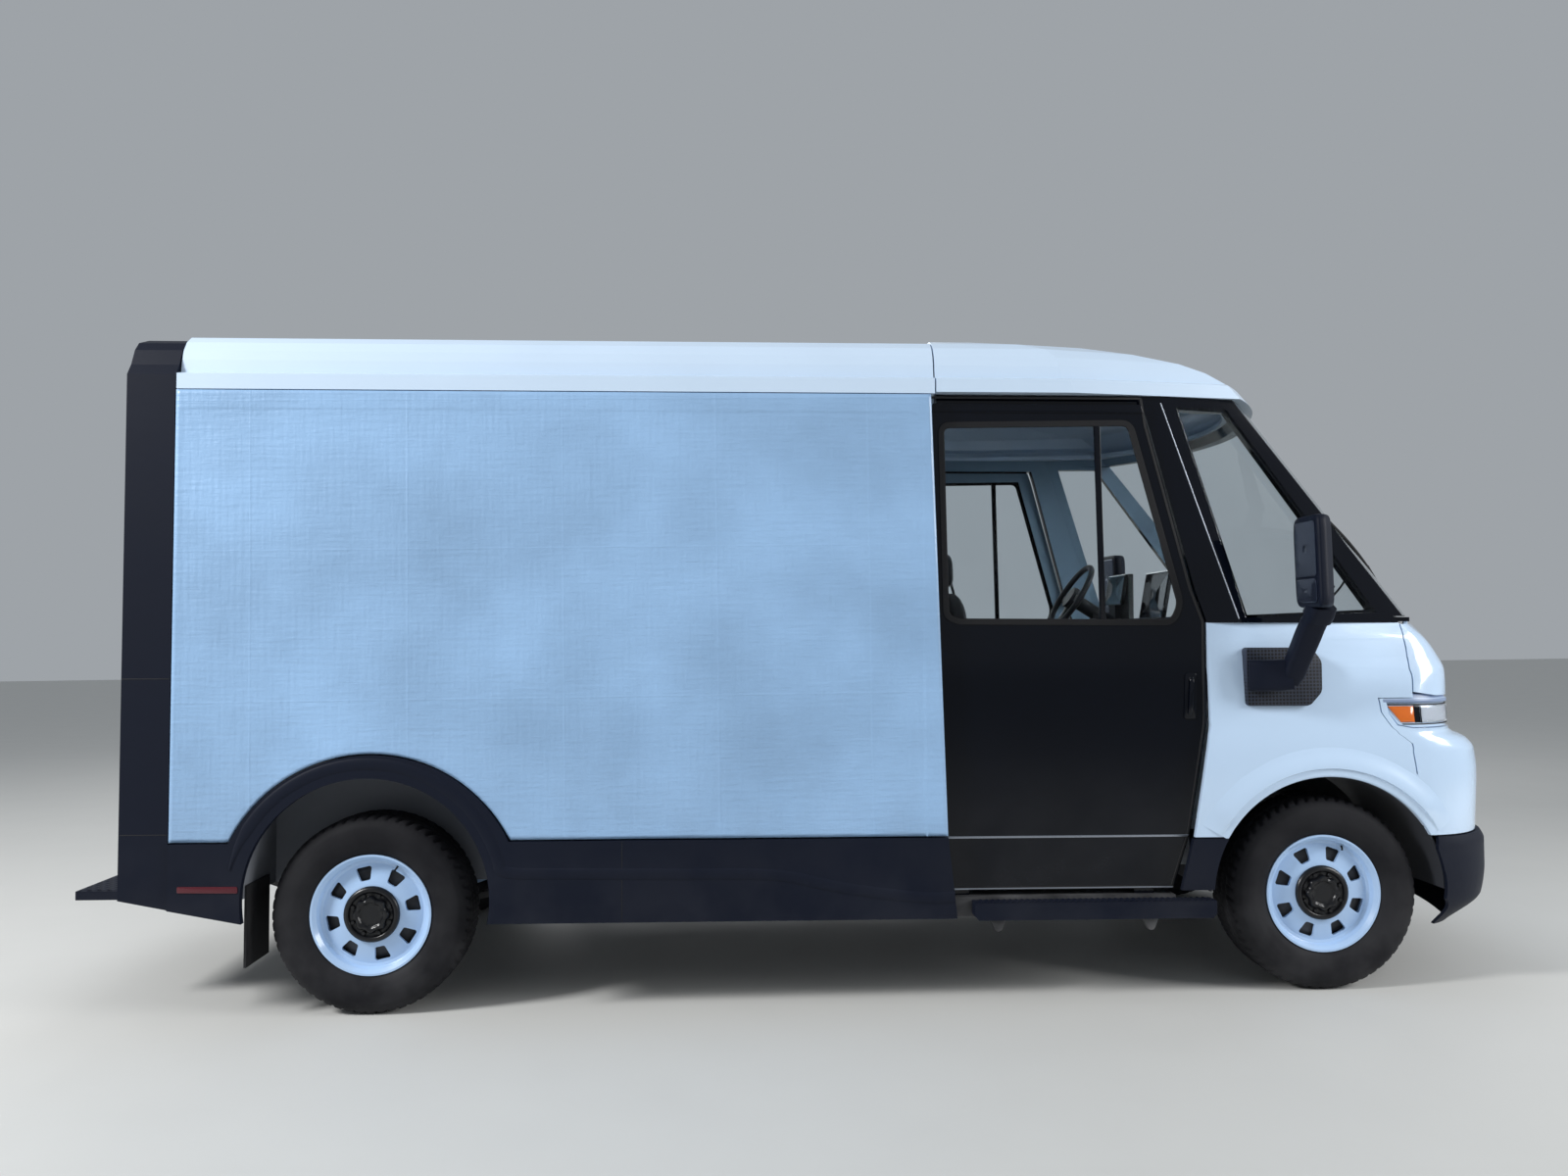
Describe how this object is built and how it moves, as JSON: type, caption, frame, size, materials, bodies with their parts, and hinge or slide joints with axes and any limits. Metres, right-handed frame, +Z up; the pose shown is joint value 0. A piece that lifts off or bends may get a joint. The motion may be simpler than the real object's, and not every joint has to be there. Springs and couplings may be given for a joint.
{
  "type": "electric cargo van",
  "caption": "Walk-in electric delivery van with a high cargo box, sliding side doors, lifting hood and steered, rolling wheels.",
  "frame": {"origin": "on the floor under the middle of the van's length and width", "axes": "+X forward to the nose, +Y to the van's left, +Z up"},
  "size_m": [6.0631, 2.74, 2.7811],
  "materials": {
    "panel_white": "satin composite panel",
    "body_white": "gloss paint",
    "roof_white": "gloss paint",
    "cladding_black": "satin moulded",
    "gloss_black": "gloss",
    "window_glass": "tinted",
    "lamp_clear": "clear",
    "lamp_red": "gloss",
    "rubber_black": "matt",
    "interior_dark": "grained",
    "seat_cloth": "woven",
    "liner_grey": "satin",
    "rear_door_grey": "satin",
    "chassis_black": "satin coat",
    "steel": "raw",
    "tyre": "matt",
    "rim_white": "gloss paint"
  },
  "bodies": {
    "body": {"arch_liners": "interior_dark", "arch_trims": "cladding_black", "battery_pack": "chassis_black", "bulkhead": "liner_grey", "cab_floor": "liner_grey", "cab_frame": "gloss_black", "cab_roof": "roof_white", "cargo_floor": "liner_grey", "cargo_roof": "roof_white", "cooling_pack": "chassis_black", "crossmembers": "chassis_black", "dashboard": "interior_dark", "fenders": "body_white", "firewall": "liner_grey", "frame_rails": "chassis_black", "front_arms": "steel", "front_bumper": "cladding_black", "front_dampers": "steel", "front_fascia": "body_white", "front_subframe": "chassis_black", "headlamps": "lamp_clear", "leaf_springs": "chassis_black", "mirrors": "cladding_black", "mud_flaps": "rubber_black", "quarter_windows": "window_glass", "rear_axle": "chassis_black", "rear_bumper": "cladding_black", "rear_door": "rear_door_grey", "rear_portal": "cladding_black", "seats": "seat_cloth", "side_cladding": "cladding_black", "side_liners": "liner_grey", "side_panels": "panel_white", "side_sills": "chassis_black", "side_steps": "cladding_black", "steering_column": "interior_dark", "tail_lamps": "lamp_red", "wall_battens": "liner_grey", "wheelhouses": "interior_dark", "windshield": "window_glass"},
    "door_right": {"door_right": "gloss_black", "door_glass_right": "window_glass"},
    "door_left": {"door_left": "gloss_black", "door_glass_left": "window_glass"},
    "hood": {"hood": "body_white"},
    "bulkhead_door": {"bulkhead_door": "interior_dark"},
    "knuckle_right": {"knuckle_right": "steel"},
    "knuckle_left": {"knuckle_left": "steel"},
    "steering_rack": {"steering_rack": "steel"},
    "steering_wheel": {"steering_wheel": "interior_dark"},
    "wheel_front_right": {"tyre_front_right": "tyre", "rim_front_right": "rim_white"},
    "wheel_front_left": {"tyre_front_left": "tyre", "rim_front_left": "rim_white"},
    "wheel_rear_right": {"tyre_rear_right": "tyre", "rim_rear_right": "rim_white"},
    "wheel_rear_left": {"tyre_rear_left": "tyre", "rim_rear_left": "rim_white"}
  },
  "joints": [
    {"name": "door_right_slide", "type": "slide", "parent": "body", "child": "door_right", "axis": [-0.9999, 0, 0.0115], "range_m": [0, 0.86]},
    {"name": "door_left_slide", "type": "slide", "parent": "body", "child": "door_left", "axis": [-0.9999, 0, 0.0115], "range_m": [0, 0.86]},
    {"name": "bulkhead_door_slide", "type": "slide", "parent": "body", "child": "bulkhead_door", "axis": [0, 1, 0], "range_m": [0, 0.64]},
    {"name": "hood_hinge", "type": "hinge", "parent": "body", "child": "hood", "pos_m": [2.54108, 0, 1.52271], "axis": [0, -1, 0], "range_deg": [0, 45]},
    {"name": "steer_left", "type": "hinge", "parent": "body", "child": "knuckle_left", "pos_m": [2.10638, 0.79, 0.395], "axis": [0, 0, 1], "range_deg": [-35, 35]},
    {"name": "steer_right", "type": "hinge", "parent": "body", "child": "knuckle_right", "pos_m": [2.10638, -0.79, 0.395], "axis": [0, 0, 1], "range_deg": [-35, 35]},
    {"name": "steering_rack_slide", "type": "slide", "parent": "body", "child": "steering_rack", "axis": [0, 1, 0], "range_m": [-0.053, 0.053]},
    {"name": "steering_wheel_turn", "type": "hinge", "parent": "body", "child": "steering_wheel", "pos_m": [1.47265, 0.42, 1.66503], "axis": [-0.8419, 0, 0.5397], "range_deg": [-481, 481]},
    {"name": "wheel_front_right_spin", "type": "hinge", "parent": "knuckle_right", "child": "wheel_front_right", "pos_m": [2.10638, -0.86, 0.395], "axis": [0, 1, 0], "continuous": true},
    {"name": "wheel_front_left_spin", "type": "hinge", "parent": "knuckle_left", "child": "wheel_front_left", "pos_m": [2.10638, 0.86, 0.395], "axis": [0, 1, 0], "continuous": true},
    {"name": "wheel_rear_right_spin", "type": "hinge", "parent": "body", "child": "wheel_rear_right", "pos_m": [-1.77962, -0.86, 0.395], "axis": [0, 1, 0], "continuous": true},
    {"name": "wheel_rear_left_spin", "type": "hinge", "parent": "body", "child": "wheel_rear_left", "pos_m": [-1.77962, 0.86, 0.395], "axis": [0, 1, 0], "continuous": true}
  ],
  "couplings": [
    {"joint": "steer_right", "follows": "steer_left", "ratio": 1},
    {"joint": "steering_rack_slide", "follows": "steer_left", "m_per_rad": -0.0845},
    {"joint": "steering_wheel_turn", "follows": "steer_left", "ratio": 13.7}
  ]
}
